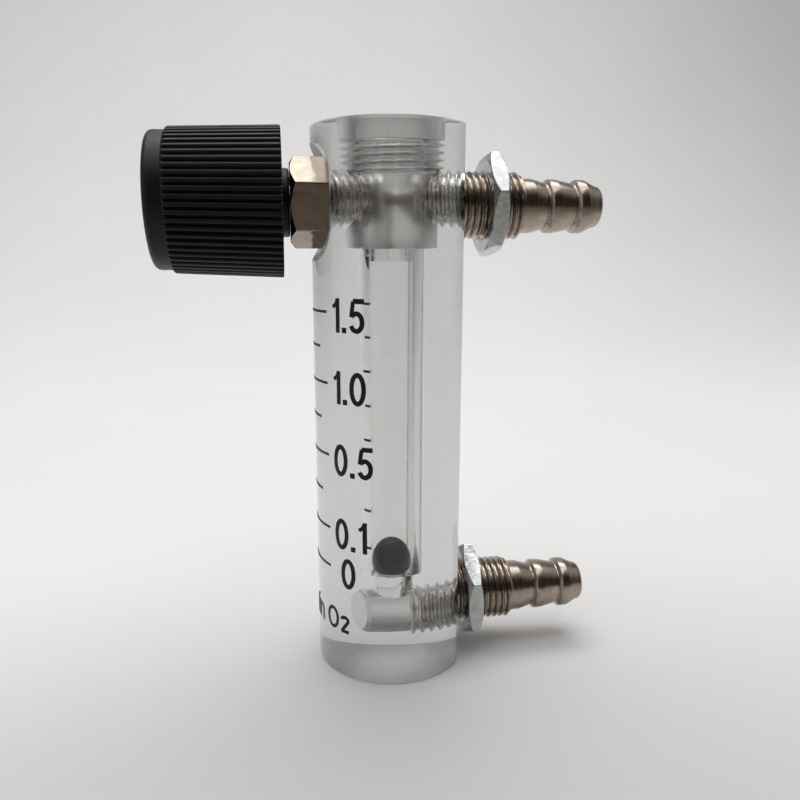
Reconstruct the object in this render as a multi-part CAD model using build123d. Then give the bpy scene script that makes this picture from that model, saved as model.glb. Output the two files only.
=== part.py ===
from build123d import *
import math
import os

os.makedirs("parts", exist_ok=True)

# A clear acrylic flow meter: a float ball in a tapered bore, a needle valve with a knob on the -X side,
# and two barbed hose fittings with lock nuts on the +X side.
# Millimetres. Origin at the centre of the body's flat base, +Z up the float bore.

# Body
body_dia = 24.0
inlet_height = 9.2  # inlet port's axis above the base
port_spacing = 63.0  # inlet port's axis to outlet port's axis
head_height = 10.8  # outlet port's axis to the top of the body
flat_depth = 2.6  # how deep the mounting flat is milled at +X
rim_chamfer = 0.3

# Threads: M10 x 1 on the fittings outside the body, M8 x 1 in the ports and on the valve body
thread_major = 10.0
port_thread_major = 8.0
thread_pitch = 1.0
thread_depth = 0.6
thread_clearance = 0.05  # radial, between a threaded piece and its plain-modelled hole
port_bore = 7.0

# Rubber rings that seal the valve body and both fittings in the mouths of their ports
seal_length = 1.7
seal_wall = 1.0
seal_corner = 0.3

# Float
ball_dia = 6.35
float_gap_bottom = 0.075  # radial gap round the ball at the seat
float_gap_top = 0.275  # radial gap round the ball at the top of the bore
seat_hole = 4.6
seat_floor_above_inlet = 6.3  # floor of the float bore above the inlet port's axis
stop_thickness = 1.8
stop_gap = 0.04
stop_ring_wall = 0.7
stop_bar = 1.2
inlet_bore_reach = 3.4  # how far the inlet bore runs past the body's axis

# Head plug and the valve seat in it
plug_dia = 9.3
plug_thread_major = 10.5
plug_head_length = 2.9  # plain length above the plug's thread
plug_thread_length = 4.6
plug_thread_depth = 0.55
plug_gap = 0.05
plug_floor_below_outlet = 6.9  # the plug's lower face under the outlet port's axis
seat_offset = 0.1  # the needle seat lies this far past the body's axis
orifice_dia = 2.4
orifice_land = 0.5
drill_angle = 118.0
passage_dia = 2.0
passage_offset = 0.9

# Valve body
pocket_dia = 16.8
pocket_depth = 2.4
hex_margin = 0.75  # the hexagon's flats stand this far outside the thread
hex_length = 5.4
hex_chamfer = 0.6
hex_gap = 0.1  # between the hexagon and the pocket's floor
hex_turn = 8.5  # degrees from corner up, towards -Y
ring_gap = 0.03
chamber_length = 0.3  # from the valve body's inner end to the start of the seat's cone

# Stem
stem_thread_dia = 4.0
stem_shank_dia = 5.0
stem_clearance = 0.05
stem_collar_dia = 5.2
stem_collar_length = 1.6
collar_clearance = 0.15
stem_travel = 1.5
travel_spare = 0.4
gland_depth = 3.8  # depth of the wide bore that the shank and its O-ring slide in
stem_ring_cord = 1.0
stem_groove_width = 1.2
needle_big_dia = 3.4
needle_tip_dia = 1.7
needle_length = 3.4
needle_clearance = 0.02

# Knob
knob_dia = 21.6  # over the ribs, at the body side
knob_taper_angle = 2.3
knob_length = 18.3
knob_band_length = 2.5  # smooth band at the outer end
knob_band_step = 0.25
knob_round = 0.6
knob_wall = 1.8
knob_ribs = 60
rib_depth = 0.45
rib_groove = 0.7
hub_dia = 9.8
hub_stand_out = 1.0  # the hub reaches this far past the skirt
knob_gap = 0.1  # between the hub and the hexagon when the valve is shut
knob_web = 3.0
cap_dia = 16.0
cap_thickness = 1.4
cap_gap = 0.1
insert_dia = 7.0
insert_length = 10.0
insert_setback = 1.5
d_flat_depth = 0.6
press_gap = 0.02

# Knob screw and washer
screw_dia = 2.5
screw_depth = 6.0
screw_head_dia = 4.6
screw_head_length = 1.5
screw_clearance = 0.15
screw_slot = 0.6
washer_dia = 6.0
washer_thickness = 0.5

# Barbed fittings
fitting_seat_gap = 0.05
fitting_end_gap = 0.8  # port's shoulder to the fitting's inner end
fitting_bore = 4.0
neck_dia = 8.2
neck_land = 1.85
barb_dia = 8.12
barb_valley_dia = 6.96
barb_tip_dia = 6.36
barb_first = 4.05  # thread's end to the foot of the first barb
barb_pitch = 4.45  # foot of the first barb to foot of the second
barb_last = 4.35  # foot of the second barb to the tip
barb_land = 1.2
shoulder_run = 0.5
tip_round = 0.6
fitting_stand_out = 10.35  # mounting flat to the end of the fitting's thread

# Lock nuts
nut_wall = 2.0  # the nut's flats stand this far outside the thread
nut_thickness = 2.5
nut_chamfer = 0.5
nut_clearance = 0.05
outlet_nut_gap = 4.6  # nut to mounting flat
outlet_nut_turn = 19.0  # degrees from corner up, towards -Y
inlet_nut_gap = 2.2
inlet_nut_turn = 1.75

# Scale
zero_mark_rise = 2.2  # zero mark above the float bore's floor
top_mark_drop = 15.5  # top mark under the outlet port's axis
mark_shares = (0, 0.159, 0.305, 0.454, 0.595, 0.733, 0.869, 1)  # of the way from the zero mark to the top one
long_marks = (0, 1, 3, 5, 7)
long_mark_angle = 30.0
short_mark_angle = 20.0
mark_width = 0.4
ink_thickness = 0.05

# Worked out from the sizes above
body_radius = body_dia / 2
outlet_height = inlet_height + port_spacing
body_height = outlet_height + head_height
thread_radius = thread_major / 2
port_thread_radius = port_thread_major / 2
tapped_radius = port_thread_radius + thread_clearance
relief_radius = port_thread_radius - thread_depth
seal_inner = relief_radius + ring_gap
seal_outer = seal_inner + seal_wall
seal_room_radius = seal_outer + ring_gap
seal_room_length = seal_length + ring_gap
bore_radius = port_bore / 2
flat_x = body_radius - flat_depth
ball_radius = ball_dia / 2
seat_floor = inlet_height + seat_floor_above_inlet
zero_mark = seat_floor + zero_mark_rise
ball_height = seat_floor + math.sqrt(ball_radius**2 - (seat_hole / 2) ** 2)
plug_floor = outlet_height - plug_floor_below_outlet
plug_thread_top = body_height - plug_head_length
plug_thread_floor = plug_thread_top - plug_thread_length
bottom_bore_radius = ball_radius + float_gap_bottom
top_bore_radius = ball_radius + float_gap_top
cone_slope = math.tan(math.radians(drill_angle / 2))
orifice_radius = orifice_dia / 2
cone_length = (bore_radius - orifice_radius) / cone_slope
cone_start = seat_offset - cone_length
port_cone_end = seat_offset + orifice_land + cone_length
port_shoulder = port_cone_end + 0.1
pocket_floor = -(body_radius - pocket_depth)
valve_end = cone_start - chamber_length
hex_flats = thread_major + 2 * hex_margin
hex_inner = pocket_floor - hex_gap
hex_outer = hex_inner - hex_length
gland_floor = hex_outer + gland_depth
thread_bore_radius = stem_thread_dia / 2 + stem_clearance
gland_radius = stem_shank_dia / 2 + stem_clearance
collar_room_radius = stem_collar_dia / 2 + collar_clearance
needle_taper = (needle_big_dia - needle_tip_dia) / needle_length
needle_start = seat_offset - (needle_big_dia - orifice_dia) / needle_taper
collar_face = needle_start - stem_collar_length
collar_room_end = collar_face - stem_travel - travel_spare
stem_groove_x = gland_floor - 0.2 - stem_groove_width
stem_groove_radius = gland_radius - stem_ring_cord - 2 * ring_gap
hub_face = hex_outer - knob_gap
skirt_face = hub_face - hub_stand_out
knob_end = skirt_face - knob_length
cap_floor = knob_end + cap_thickness + cap_gap
web_outer = cap_floor + screw_head_length + washer_thickness + cap_gap
web_inner = web_outer + knob_web
stem_end = web_outer + knob_web / 2
fitting_end = flat_x + fitting_stand_out
fitting_inner = port_shoulder + fitting_end_gap


def turned(outline, height):
    """Solid of revolution about an X axis at this height, from (x, radius) points."""
    face = make_face(Polyline(*outline, close=True))
    return Pos(0, 0, height) * revolve(face, Axis.X, 360)


def upright(outline):
    """Solid of revolution about the Z axis, from (radius, z) points."""
    face = make_face(Plane.XZ * Polyline(*outline, close=True))
    return revolve(face, Axis.Z, 360)


def rod(start, end, radius, height):
    """Round bar along X between two x positions."""
    return turned([(start, 0), (end, 0), (end, radius), (start, radius)], height)


def ring(start, end, inner, outer, height):
    """Round tube along X between two x positions."""
    return turned([(start, inner), (end, inner), (end, outer), (start, outer)], height)


def thread_outline(start, end, radius, pitch, depth):
    """Outline points of ring grooves that stand for a thread, from start to end."""
    count = max(1, int(abs(end - start) / pitch))
    step = (end - start) / count
    points = [(start, radius - depth)]
    for turn in range(count):
        left = start + turn * step
        points += [
            (left + 0.44 * step, radius),
            (left + 0.56 * step, radius),
            (left + step, radius - depth),
        ]
    return points


def hexagon(start, end, flats, turn, height, chamfer, inner_chamfer):
    """Hexagonal bar along X, turned this many degrees from corner up, chamfered at one end or both."""
    plane = Plane.YZ.offset(start)
    bar = extrude(plane * RegularPolygon(flats / 2, 6, major_radius=False, rotation=30 + turn), end - start)
    corner = flats / math.sqrt(3)
    drop = corner - flats / 2 + 0.05
    second = drop if inner_chamfer else 0
    shape = turned(
        [
            (start, 0),
            (start, corner - drop),
            (start + chamfer, corner + 0.01),
            (end - chamfer, corner + 0.01),
            (end, corner + 0.01 - second),
            (end, 0),
        ],
        height,
    )
    return (Pos(0, 0, height) * bar) & shape


def meter_body():
    """Acrylic bar with its bores, tapped ports, valve pocket and mounting flat."""
    rim = rim_chamfer
    solid = upright(
        [
            (0, 0),
            (body_radius - rim, 0),
            (body_radius, rim),
            (body_radius, body_height - rim),
            (body_radius - rim, body_height),
            (0, body_height),
        ]
    )
    beyond_flat = Box(body_dia, 2 * body_dia, 2 * body_height)
    solid -= Pos(flat_x + body_radius, 0, body_height / 2) * beyond_flat
    plug_room = plug_dia / 2 + plug_gap
    thread_room = plug_thread_major / 2 + plug_gap
    solid -= upright(
        [
            (0, plug_floor),
            (plug_room, plug_floor),
            (plug_room, plug_thread_floor),
            (thread_room, plug_thread_floor),
            (thread_room, body_height + 1),
            (0, body_height + 1),
        ]
    )
    solid -= upright(
        [
            (0, seat_floor),
            (bottom_bore_radius, seat_floor),
            (top_bore_radius, plug_floor),
            (0, plug_floor + 0.1),
        ]
    )
    hole_top = seat_floor + 0.1
    hole_radius = seat_hole / 2
    solid -= upright([(0, inlet_height), (hole_radius, inlet_height), (hole_radius, hole_top), (0, hole_top)])
    solid -= rod(-inlet_bore_reach, flat_x + 1, bore_radius, inlet_height)
    solid -= rod(port_shoulder, flat_x + 1, tapped_radius, inlet_height)
    solid -= valve_and_outlet_bores()
    solid -= rod(-body_radius - 1, pocket_floor, pocket_dia / 2, outlet_height)
    solid -= rod(pocket_floor - 1, pocket_floor + seal_room_length, seal_room_radius, outlet_height)
    for height in (inlet_height, outlet_height):
        solid -= rod(flat_x - seal_room_length, flat_x + 1, seal_room_radius, height)
    return solid


def valve_and_outlet_bores():
    """The two drillings at the outlet's height, which meet in the needle seat."""
    outer = body_radius + 1
    return turned(
        [
            (-outer, 0),
            (-outer, tapped_radius),
            (valve_end, tapped_radius),
            (valve_end, bore_radius),
            (cone_start, bore_radius),
            (seat_offset, orifice_radius),
            (seat_offset + orifice_land, orifice_radius),
            (port_cone_end, bore_radius),
            (port_shoulder, bore_radius),
            (port_shoulder, tapped_radius),
            (outer, tapped_radius),
            (outer, 0),
        ],
        outlet_height,
    )


def head_plug():
    """Acrylic plug: threaded at the top, cross-drilled with the seat left in its middle."""
    major = plug_thread_major / 2
    turns = thread_outline(plug_thread_floor, plug_thread_top, major, thread_pitch, plug_thread_depth)
    thread = [(radius, z) for z, radius in turns]
    below = [(0, plug_floor), (plug_dia / 2, plug_floor), (plug_dia / 2, plug_thread_floor)]
    above = [(major, plug_thread_top), (major, body_height), (0, body_height)]
    solid = upright([*below, *thread, *above])
    solid -= valve_and_outlet_bores()
    solid -= Pos(-passage_offset, 0, (plug_floor + outlet_height) / 2) * Cylinder(
        passage_dia / 2, outlet_height - plug_floor + 2
    )
    return solid


def float_ball():
    """Ball that rests on the rim of the seat hole."""
    return Pos(0, 0, ball_height) * Sphere(ball_radius)


def float_stop():
    """Clear ring with a bar across it, at the top of the float bore."""
    share = (plug_floor - stop_thickness - seat_floor) / (plug_floor - seat_floor)
    room = bottom_bore_radius + share * (top_bore_radius - bottom_bore_radius)
    radius = room - stop_gap
    low = plug_floor - stop_thickness
    middle = low + stop_thickness / 2
    wall = Cylinder(radius, stop_thickness) - Cylinder(radius - stop_ring_wall, stop_thickness)
    across = Cylinder(radius - stop_ring_wall / 2, stop_thickness)
    bar = Box(stop_bar, 2 * radius, stop_thickness) & across
    return Pos(0, 0, middle) * (wall + bar)


def scale_marks():
    """Ink lines round the -X side of the body."""
    marks = []
    scale_length = outlet_height - top_mark_drop - zero_mark
    for index, share in enumerate(mark_shares):
        half = long_mark_angle if index in long_marks else short_mark_angle
        line = upright_arc(half)
        marks.append(Pos(0, 0, zero_mark + share * scale_length - mark_width / 2) * line)
    return Compound(children=marks)


def upright_arc(half):
    """One ink line: a thin band of the body's surface, half the angle each side of -X."""
    face = make_face(
        Plane.XZ
        * Polyline(
            (body_radius, 0),
            (body_radius + ink_thickness, 0),
            (body_radius + ink_thickness, mark_width),
            (body_radius, mark_width),
            close=True,
        )
    )
    return Rot(0, 0, 180 - half) * revolve(face, Axis.Z, 2 * half)


def valve_body():
    """Gland: hexagon outside the body, threaded part inside it, bored for the stem."""
    thread_start = pocket_floor + seal_room_length
    nose = thread_outline(valve_end, thread_start, port_thread_radius, thread_pitch, thread_depth)
    solid = turned([(valve_end, 0), *nose, (hex_inner, relief_radius), (hex_inner, 0)], outlet_height)
    solid += hexagon(hex_outer, hex_inner, hex_flats, hex_turn, outlet_height, hex_chamfer, False)
    solid -= turned(
        [
            (hex_outer - 1, 0),
            (hex_outer - 1, gland_radius),
            (gland_floor, gland_radius),
            (gland_floor, thread_bore_radius),
            (collar_room_end, thread_bore_radius),
            (collar_room_end, collar_room_radius),
            (valve_end + 1, collar_room_radius),
            (valve_end + 1, 0),
        ],
        outlet_height,
    )
    return solid


def torus_on_x(x, ring_radius, cord, height):
    """O-ring about an X axis."""
    return Pos(x, 0, height) * Rot(0, 90, 0) * Torus(ring_radius, cord / 2)


def port_seal(start, height):
    """Rubber ring with broken corners, in the mouth of a port."""
    end = start + seal_length
    corner = seal_corner
    return turned(
        [
            (start, seal_inner + corner),
            (start + corner, seal_inner),
            (end - corner, seal_inner),
            (end, seal_inner + corner),
            (end, seal_outer - corner),
            (end - corner, seal_outer),
            (start + corner, seal_outer),
            (start, seal_outer - corner),
        ],
        height,
    )


def valve_stem():
    """Spindle: needle, stop collar, thread, grooved shank and the end that carries the knob."""
    big = needle_big_dia / 2 - needle_clearance
    tip = needle_tip_dia / 2 - needle_clearance
    shank = stem_shank_dia / 2
    solid = turned(
        [
            (stem_end, 0),
            (stem_end, shank - 0.3),
            (stem_end + 0.3, shank),
            (stem_groove_x, shank),
            (stem_groove_x, stem_groove_radius),
            (stem_groove_x + stem_groove_width, stem_groove_radius),
            (stem_groove_x + stem_groove_width, stem_thread_dia / 2),
            (collar_face, stem_thread_dia / 2),
            (collar_face, stem_collar_dia / 2),
            (needle_start, stem_collar_dia / 2),
            (needle_start, big),
            (needle_start + needle_length, tip),
            (needle_start + needle_length, 0),
        ],
        outlet_height,
    )
    flat_run = insert_length + 1.0
    flat = Box(flat_run, 2 * shank, 2 * d_flat_depth)
    solid -= Pos(stem_end + flat_run / 2, 0, outlet_height + shank) * flat
    solid -= rod(stem_end - 1, stem_end + screw_depth + 0.5, screw_dia / 2 + press_gap, outlet_height)
    return solid


def stem_o_ring():
    """O-ring in the stem's groove, sliding in the gland."""
    radius = gland_radius - ring_gap - stem_ring_cord / 2
    return torus_on_x(stem_groove_x + stem_groove_width / 2, radius, stem_ring_cord, outlet_height)


def knob():
    """Ribbed plastic knob with a hub, a web and a recess for the screw and the cap."""
    big = knob_dia / 2
    fall = math.tan(math.radians(knob_taper_angle))
    band_start = knob_end + knob_band_length
    small = big - (skirt_face - band_start) * fall
    band = small - knob_band_step - rib_depth / 2
    inside = big - rib_depth - knob_wall
    solid = turned(
        [
            (knob_end, 0),
            (knob_end, band - knob_round),
            (knob_end + 0.3 * knob_round, band - 0.3 * knob_round),
            (knob_end + knob_round, band),
            (band_start, band),
            (band_start + 0.3, small),
            (skirt_face, big),
            (skirt_face, inside),
            (web_inner, inside - (skirt_face - web_inner) * fall),
            (web_inner, hub_dia / 2),
            (hub_face, hub_dia / 2),
            (hub_face, 0),
        ],
        outlet_height,
    )
    solid -= rib_grooves(big, fall, band_start)
    solid -= rod(knob_end - 1, cap_floor, cap_dia / 2 + cap_gap, outlet_height)
    solid -= rod(cap_floor - 1, web_outer, washer_dia / 2 + 1, outlet_height)
    solid -= rod(web_outer - 1, web_inner, screw_dia / 2 + screw_clearance, outlet_height)
    solid -= rod(stem_end - cap_gap, hub_face + 1, stem_shank_dia / 2 + stem_clearance, outlet_height)
    insert_room = insert_dia / 2 + press_gap
    insert_inner = hub_face - insert_setback
    solid -= rod(insert_outer() - press_gap, insert_inner + press_gap, insert_room, outlet_height)
    return solid


def insert_outer():
    """Outer end of the knob's insert."""
    return hub_face - insert_setback - insert_length


def rib_grooves(big, fall, band_start):
    """V grooves between the ribs, along the knob's taper."""
    length = skirt_face - band_start + 2
    middle = (skirt_face + band_start) / 2
    radius = big - (skirt_face - middle) * fall
    wedge = make_face(
        Plane.YZ
        * Polyline(
            (0, -rib_depth),
            (rib_groove / 2, 0),
            (rib_groove, rib_depth),
            (-rib_groove, rib_depth),
            (-rib_groove / 2, 0),
            close=True,
        )
    )
    cutter = Pos(-length / 2 + 0.8, 0, 0) * extrude(wedge, length)
    cutter = Pos(middle, 0, radius) * Rot(0, -knob_taper_angle, 0) * cutter
    cutters = [Rot(360 / knob_ribs * index, 0, 0) * cutter for index in range(knob_ribs)]
    return Pos(0, 0, outlet_height) * Compound(children=cutters)


def knob_insert():
    """Brass bush with a D bore."""
    outer = insert_outer()
    inner = hub_face - insert_setback
    bore = stem_shank_dia / 2 + press_gap
    solid = rod(outer, inner, insert_dia / 2, outlet_height)
    hole = rod(outer - 1, inner + 1, bore, outlet_height)
    key_top = outlet_height + stem_shank_dia / 2 - d_flat_depth + press_gap
    key_end = stem_end + insert_length + 1.0 - cap_gap
    key = Pos((outer + key_end) / 2, 0, key_top + bore) * Box(key_end - outer, 4 * bore, 2 * bore)
    return solid - (hole - key)


def knob_end_cap():
    """Slightly domed cap that hides the screw."""
    radius = cap_dia / 2
    start = knob_end + cap_gap / 2
    return turned(
        [
            (start, 0),
            (start, radius - 1.2),
            (start + 0.4, radius),
            (start + cap_thickness, radius),
            (start + cap_thickness, 0),
        ],
        outlet_height,
    )


def knob_screw():
    """Slotted pan-head screw along the stem's axis."""
    seat = web_outer - washer_thickness
    head = seat - screw_head_length
    radius = screw_head_dia / 2
    solid = turned(
        [
            (head, 0),
            (head, radius - 0.5),
            (head + 0.5, radius),
            (seat, radius),
            (seat, screw_dia / 2),
            (stem_end + screw_depth - 0.4, screw_dia / 2),
            (stem_end + screw_depth, screw_dia / 2 - 0.4),
            (stem_end + screw_depth, 0),
        ],
        outlet_height,
    )
    return solid - Pos(head, 0, outlet_height) * Box(1.4, screw_head_dia + 1, screw_slot)


def knob_washer():
    """Flat washer between the screw's head and the knob's web."""
    hole = screw_dia / 2 + screw_clearance / 2
    return ring(web_outer - washer_thickness, web_outer, hole, washer_dia / 2, outlet_height)


def fitting(height):
    """Barbed hose fitting with a thread that screws into a port."""
    first = fitting_end + barb_first
    second = first + barb_pitch
    tip = second + barb_last
    crest = barb_dia / 2
    valley = barb_valley_dia / 2
    shoulder = flat_x + fitting_seat_gap
    thread_stop = flat_x - seal_room_length
    outline = thread_outline(fitting_inner, thread_stop, port_thread_radius, thread_pitch, thread_depth)
    outline += [(shoulder, relief_radius)]
    outline += thread_outline(shoulder, fitting_end, thread_radius, thread_pitch, thread_depth)
    outline += [
        (fitting_end, neck_dia / 2),
        (fitting_end + neck_land, neck_dia / 2),
        (first, valley),
        (first + shoulder_run, crest),
        (first + shoulder_run + barb_land, crest),
        (second, valley),
        (second + shoulder_run, crest),
        (second + shoulder_run + barb_land, crest),
        (tip - tip_round, barb_tip_dia / 2),
        (tip - 0.3 * tip_round, barb_tip_dia / 2 - 0.3 * tip_round),
        (tip, barb_tip_dia / 2 - tip_round),
        (tip, fitting_bore / 2 + 0.2),
        (tip - 0.2, fitting_bore / 2),
        (fitting_inner, fitting_bore / 2),
    ]
    return turned(outline, height)


def lock_nut(gap, turn, height):
    """Thin hexagon nut, chamfered on both sides."""
    start = flat_x + gap
    end = start + nut_thickness
    flats = thread_major + 2 * nut_wall
    nut = hexagon(start, end, flats, turn, height, nut_chamfer, True)
    return nut - rod(start - 1, end + 1, thread_radius + nut_clearance, height)


pieces = {
    "meter_body": meter_body(),
    "head_plug": head_plug(),
    "float_ball": float_ball(),
    "float_stop": float_stop(),
    "scale_marks": scale_marks(),
    "valve_body": valve_body(),
    "valve_body_seal": port_seal(pocket_floor, outlet_height),
    "valve_stem": valve_stem(),
    "stem_o_ring": stem_o_ring(),
    "knob": knob(),
    "knob_insert": knob_insert(),
    "knob_end_cap": knob_end_cap(),
    "knob_screw": knob_screw(),
    "knob_washer": knob_washer(),
    "outlet_fitting": fitting(outlet_height),
    "outlet_seal_ring": port_seal(flat_x - seal_length, outlet_height),
    "outlet_lock_nut": lock_nut(outlet_nut_gap, outlet_nut_turn, outlet_height),
    "inlet_fitting": fitting(inlet_height),
    "inlet_seal_ring": port_seal(flat_x - seal_length, inlet_height),
    "inlet_lock_nut": lock_nut(inlet_nut_gap, inlet_nut_turn, inlet_height),
}
for name, piece in pieces.items():
    export_step(piece, f"parts/{name}.step")
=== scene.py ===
import math

import bmesh
import bpy
import numpy as np
from mathutils import Matrix, Vector


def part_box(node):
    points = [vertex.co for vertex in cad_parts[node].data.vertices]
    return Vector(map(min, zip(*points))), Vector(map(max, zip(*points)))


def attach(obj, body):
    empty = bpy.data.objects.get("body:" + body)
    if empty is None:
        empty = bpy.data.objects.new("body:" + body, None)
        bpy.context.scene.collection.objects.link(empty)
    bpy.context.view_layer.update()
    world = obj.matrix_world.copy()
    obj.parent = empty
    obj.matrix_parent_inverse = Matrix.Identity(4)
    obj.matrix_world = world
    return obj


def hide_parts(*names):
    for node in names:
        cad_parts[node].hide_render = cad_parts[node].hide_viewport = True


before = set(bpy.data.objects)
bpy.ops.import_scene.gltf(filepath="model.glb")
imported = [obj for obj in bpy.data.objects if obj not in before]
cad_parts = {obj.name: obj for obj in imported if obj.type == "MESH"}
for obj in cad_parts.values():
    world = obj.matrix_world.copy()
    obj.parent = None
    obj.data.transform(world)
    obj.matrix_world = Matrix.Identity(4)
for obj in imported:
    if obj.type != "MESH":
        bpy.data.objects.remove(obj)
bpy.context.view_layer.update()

MM = 0.001

# ---------------------------------------------------------------- sizes read from the frame, in millimetres


def low(node):
    return np.array(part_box(node)[0]) / MM


def high(node):
    return np.array(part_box(node)[1]) / MM


def middle(node):
    return (low(node) + high(node)) / 2


body_radius = -low("meter_body")[0]
body_height = high("meter_body")[2]
flat_x = high("meter_body")[0]
outlet_z = middle("outlet_fitting")[2]
inlet_z = middle("inlet_fitting")[2]
plug_floor = low("head_plug")[2]
ball_z = middle("float_ball")[2]
ball_radius = (high("float_ball")[2] - low("float_ball")[2]) / 2
valve_nose = high("valve_body")[0]
hex_outer = low("valve_body")[0]
knob_end = low("knob")[0]
hub_face = high("knob")[0]
knob_radius = (high("knob")[1] - low("knob")[1]) / 2
fitting_inner = low("outlet_fitting")[0]
fitting_tip = high("outlet_fitting")[0]
needle_tip_x = high("valve_stem")[0]
stem_end = low("valve_stem")[0]

# Sizes that repeat the CAD's, in millimetres
THREAD_RADIUS = 5.0
PORT_THREAD_RADIUS = 4.0
PITCH = 1.0
THREAD_DEPTH = 0.6
THREAD_GAP = 0.05
RELIEF = PORT_THREAD_RADIUS - THREAD_DEPTH
PORT_BORE = 3.5
SEAL_WALL = 1.0
SEAL_CORNER = 0.3
SEAL_GAP = 0.03
SEAL_ROOM_RADIUS = RELIEF + SEAL_WALL + 2 * SEAL_GAP
SEAL_ROOM_LENGTH = 1.7 + SEAL_GAP
SEAT_FLOOR = inlet_z + 6.3
SEAT_HOLE = 2.3
BORE_BOTTOM = ball_radius + 0.075
BORE_TOP = ball_radius + 0.275
INLET_REACH = 3.4
PLUG_RADIUS = 4.65
PLUG_THREAD = 5.25
PLUG_THREAD_DEPTH = 0.55
PLUG_THREAD_TOP = body_height - 2.9
PLUG_THREAD_FLOOR = PLUG_THREAD_TOP - 4.6
PLUG_GAP = 0.05
SEAT_X = 0.1
ORIFICE = 1.2
ORIFICE_LAND = 0.5
CONE = (PORT_BORE - ORIFICE) / math.tan(math.radians(59))
PORT_SHOULDER = SEAT_X + ORIFICE_LAND + CONE + 0.1
PASSAGE = 1.0
PASSAGE_X = -0.9
POCKET_FLOOR = -(body_radius - 2.4)
POCKET_RADIUS = 8.4
HEX_GAP = 0.1
HEX_FLATS = 11.5
HEX_TURN = 8.5
NEEDLE_LENGTH = 3.4
FITTING_THREAD = 10.35
BARB_FIRST = 4.05
BARB_PITCH = 4.45
NUT_FLATS = 14.0
NUT_TURNS = {"outlet": 19.0, "inlet": 1.75}

# How finely the meshes are made, in millimetres where they are lengths
ROWS_PER_PITCH = 16
STEP = 0.02
STROKE_STEP = 0.15

# The print on the body, in millimetres
INK_LIFT = 0.008
INK_THICKNESS = 0.04
FIGURE_HEIGHT = 4.9
FIGURE_WEIGHT = 0.72
FIGURE_DROP = 2.85
UNIT_DROP = 1.75
UNIT_END = 3.85


# ---------------------------------------------------------------- mesh helpers


def mesh_object(name, verts, faces, materials):
    mesh = bpy.data.meshes.new(name)
    mesh.from_pydata([tuple(v) for v in np.asarray(verts, float) * MM], [], faces)
    mesh.validate()
    for m in materials:
        mesh.materials.append(m)
    obj = bpy.data.objects.new(name, mesh)
    bpy.context.scene.collection.objects.link(obj)
    return obj


def outward(obj):
    bm = bmesh.new()
    bm.from_mesh(obj.data)
    bmesh.ops.remove_doubles(bm, verts=bm.verts, dist=1e-8)
    bmesh.ops.recalc_face_normals(bm, faces=bm.faces)
    bm.to_mesh(obj.data)
    bm.free()
    return obj


def smooth(obj, angle):
    """Smooth shading, with the edges over this angle, in degrees, kept sharp."""
    limit = math.radians(angle)
    bm = bmesh.new()
    bm.from_mesh(obj.data)
    for face in bm.faces:
        face.smooth = True
    for edge in bm.edges:
        two = len(edge.link_faces) == 2
        edge.smooth = two and edge.calc_face_angle(0.0) < limit
    bm.to_mesh(obj.data)
    bm.free()
    return obj


def thread_wave(phase):
    """Height of a V thread, from 0 at the root to 1 at the crest, over one turn of phase."""
    off = np.abs(phase - np.floor(phase) - 0.5)
    flank = np.clip((0.375 - off) * 3.2, 0.0, 1.0)
    return flank * flank * (3 - 2 * flank) * 0.5 + flank * 0.5


class Row:
    """One ring of a turned surface: where it is along the axis, its radius and its thread's depth there."""

    def __init__(self, along, radius, depth=0.0):
        self.along = along
        self.radius = radius
        self.depth = depth


def thread_rows(start, end, radius, depth, fade_start, fade_end):
    """Rows of a helical thread whose crest has this radius; it fades out over the given lengths."""
    steps = max(2, int(round(abs(end - start) / PITCH * ROWS_PER_PITCH)))
    rows = []
    for i in range(steps + 1):
        x = start + (end - start) * i / steps
        rise = min(1.0, abs(x - start) / fade_start if fade_start else 1.0)
        fall = min(1.0, abs(end - x) / fade_end if fade_end else 1.0)
        share = min(rise, fall)
        rows.append(Row(x, radius - depth * (1 - share) * 0.9, depth * share))
    return rows


def turned(name, rows, axis, height=0.0, segments=128, closed=False, materials=()):
    """A turned solid with helical threads. Rows at radius 0 close an end; closed joins last to first."""
    angles = np.arange(segments) * 2 * math.pi / segments
    verts, rings = [], []
    for row in rows:
        if row.radius <= 0:
            rings.append([len(verts)])
            verts.append((row.along, 0.0, 0.0))
            continue
        phase = row.along / PITCH - angles / (2 * math.pi)
        radii = row.radius - row.depth * (1 - thread_wave(phase))
        first = len(verts)
        verts += [(row.along, r * math.cos(a), r * math.sin(a)) for r, a in zip(radii, angles)]
        rings.append(list(range(first, first + segments)))
    faces = []
    pairs = list(zip(rings, rings[1:]))
    if closed:
        pairs.append((rings[-1], rings[0]))
    for a, b in pairs:
        for i in range(segments):
            j = (i + 1) % segments
            if len(a) == 1 and len(b) == 1:
                continue
            if len(a) == 1:
                faces.append((a[0], b[i], b[j]))
            elif len(b) == 1:
                faces.append((a[i], a[j], b[0]))
            else:
                faces.append((a[i], a[j], b[j], b[i]))
    points = np.array(verts)
    if axis == "z":
        points = points[:, [1, 2, 0]]
    points[:, 2] += height
    return outward(mesh_object(name, points, faces, materials))


def plain(outline):
    return [Row(x, r) for x, r in outline]


def paint(obj, material, test):
    """Give this material to the faces whose centre, in millimetres, passes the test."""
    obj.data.materials.append(material)
    slot = len(obj.data.materials) - 1
    for face in obj.data.polygons:
        if test(np.array(face.center) / MM):
            face.material_index = slot
    return obj


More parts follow.
